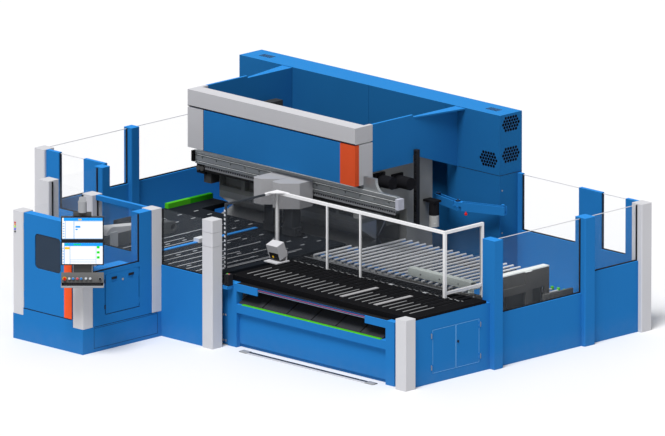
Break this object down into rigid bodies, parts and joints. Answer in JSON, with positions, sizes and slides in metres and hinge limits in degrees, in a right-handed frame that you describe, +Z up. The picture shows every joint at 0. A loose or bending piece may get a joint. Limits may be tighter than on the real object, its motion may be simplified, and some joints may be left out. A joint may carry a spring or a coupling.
{
  "type": "panel bender",
  "caption": "Sheet-metal panel bender cell with a hooded bending unit, sheet tables, a belt conveyor, guards and an operator console.",
  "frame": {"origin": "under the middle of the whole cell, on the floor", "axes": "+X along the bend line towards the feed end, -Y towards the operator, +Z up"},
  "size_m": [8.25, 6.8898, 2.69],
  "materials": {
    "blue_paint": "satin sheet paint",
    "grey_paint": "satin sheet paint",
    "dark_grey_paint": "satin paint",
    "orange_paint": "satin paint",
    "white_paint": "satin paint",
    "black_paint": "textured paint",
    "steel": "ground",
    "cast": "painted casting",
    "aluminium": "anodised",
    "clear": "clear sheet",
    "smoked": "smoked sheet",
    "black_plastic": "matt",
    "white_plastic": "matt",
    "green_plastic": "translucent",
    "red_plastic": "gloss",
    "lamp": "domed lens"
  },
  "bodies": {
    "cell": {"belt_brackets": "blue_paint", "chute": "black_paint", "columns": "blue_paint", "console_plinth": "blue_paint", "console_walls": "blue_paint", "control_box": "black_plastic", "conveyor_belts": "white_plastic", "conveyor_frame": "dark_grey_paint", "feed_table": "black_paint", "fence_glass": "clear", "fence_panels": "blue_paint", "fence_posts_blue": "blue_paint", "fence_posts_grey": "grey_paint", "floor_strip": "aluminium", "frame_tie_beam": "cast", "green_strips": "green_plastic", "gripper_track": "aluminium", "guard_frame": "white_paint", "guard_glass": "smoked", "hood_front_panel": "blue_paint", "hood_grey_covers": "grey_paint", "hood_sides": "blue_paint", "hood_stripe": "orange_paint", "light_curtain": "black_plastic", "lower_die": "steel", "machine_bed": "cast", "pedestal": "grey_paint", "rear_beam": "blue_paint", "servo_motors": "black_paint", "side_cabinet": "blue_paint", "side_frames": "dark_grey_paint", "status_lights": "lamp", "table_frame": "blue_paint", "tool_rail": "cast", "tool_rail_ends": "black_plastic", "working_table": "black_paint"},
    "blank_holder": {"blank_holder_beam": "cast", "upper_tools": "steel"},
    "blade_slide": {"blade_saddle": "cast"},
    "blade_carrier": {"blade_beam": "cast", "bending_blades": "steel"},
    "carriage_left": {"tool_carriage_left": "grey_paint"},
    "carriage_right": {"tool_carriage_right": "grey_paint"},
    "slider": {"gripper_carriage": "white_plastic"},
    "loader": {"loading_arm": "aluminium"},
    "operator_panel": {"monitor_arm": "white_paint", "monitor_plate": "dark_grey_paint", "monitors": "black_plastic", "key_panel": "black_plastic"},
    "stop_button": {"emergency_button": "red_plastic"},
    "console_leaf": {"console_door": "blue_paint", "console_door_window": "smoked", "console_door_stripe": "orange_paint"},
    "small_leaf": {"small_door": "blue_paint"},
    "cabinet_leaf_front": {"cabinet_door_front": "blue_paint"},
    "cabinet_leaf_rear": {"cabinet_door_rear": "blue_paint"},
    "latch": {"door_latch": "black_plastic"},
    "arm_inner": {"swing_arm_inner": "blue_paint"},
    "arm_outer": {"swing_arm_outer": "blue_paint"},
    "belt_drive": {"conveyor_shaft": "steel"}
  },
  "joints": [
    {"name": "blank_holder_lift", "type": "slide", "parent": "cell", "child": "blank_holder", "axis": [0, 0, 1], "range_m": [0, 0.16]},
    {"name": "blade_approach", "type": "slide", "parent": "cell", "child": "blade_slide", "axis": [0, -1, 0], "range_m": [0, 0.1]},
    {"name": "blade_lift", "type": "slide", "parent": "blade_slide", "child": "blade_carrier", "axis": [0, 0, 1], "range_m": [0, 0.11]},
    {"name": "carriage_left_travel", "type": "slide", "parent": "cell", "child": "carriage_left", "axis": [-1, 0, 0], "range_m": [0, 1.4]},
    {"name": "carriage_right_travel", "type": "slide", "parent": "cell", "child": "carriage_right", "axis": [1, 0, 0], "range_m": [0, 1.3]},
    {"name": "slider_travel", "type": "slide", "parent": "cell", "child": "slider", "axis": [0, 1, 0], "range_m": [-0.5, 0.85]},
    {"name": "loader_lift", "type": "hinge", "parent": "cell", "child": "loader", "pos_m": [-1.765, -1.19814, 1.1103], "axis": [1, 0, 0], "range_deg": [0, 25]},
    {"name": "panel_swivel", "type": "hinge", "parent": "cell", "child": "operator_panel", "pos_m": [-0.515, -2.92514, 1.835], "axis": [0, 0, 1], "range_deg": [-8, 45]},
    {"name": "stop_press", "type": "slide", "parent": "operator_panel", "child": "stop_button", "axis": [-0.7071, 0.7071, 0], "range_m": [0, 0.006], "stiffness_N_per_m": 800},
    {"name": "console_door_swing", "type": "hinge", "parent": "cell", "child": "console_leaf", "pos_m": [-1.568, -3.01364, 1.13], "axis": [0, 0, -1], "range_deg": [0, 90]},
    {"name": "small_door_swing", "type": "hinge", "parent": "cell", "child": "small_leaf", "pos_m": [-0.421, -1.94714, 0.775], "axis": [0, 0, 1], "range_deg": [0, 100]},
    {"name": "cabinet_front_swing", "type": "hinge", "parent": "cell", "child": "cabinet_leaf_front", "pos_m": [4.0398, -0.75414, 0.44], "axis": [0, 0, -1], "range_deg": [0, 110]},
    {"name": "cabinet_rear_swing", "type": "hinge", "parent": "cell", "child": "cabinet_leaf_rear", "pos_m": [4.0398, 0.15486, 0.44], "axis": [0, 0, 1], "range_deg": [0, 110]},
    {"name": "latch_turn", "type": "hinge", "parent": "cabinet_leaf_rear", "child": "latch", "pos_m": [4.0335, -0.25964, 0.5], "axis": [1, 0, 0], "range_deg": [0, 90]},
    {"name": "arm_inner_swing", "type": "hinge", "parent": "cell", "child": "arm_inner", "pos_m": [0.64, 2.78686, 1.37], "axis": [0, 0, -1], "range_deg": [0, 12]},
    {"name": "arm_outer_swing", "type": "hinge", "parent": "arm_inner", "child": "arm_outer", "pos_m": [1.13458, 2.67086, 1.37], "axis": [0, 0, -1], "range_deg": [0, 60]},
    {"name": "belt_drive_turn", "type": "hinge", "parent": "cell", "child": "belt_drive", "pos_m": [2.001, 0.52286, 0.8917], "axis": [1, 0, 0], "continuous": true}
  ]
}
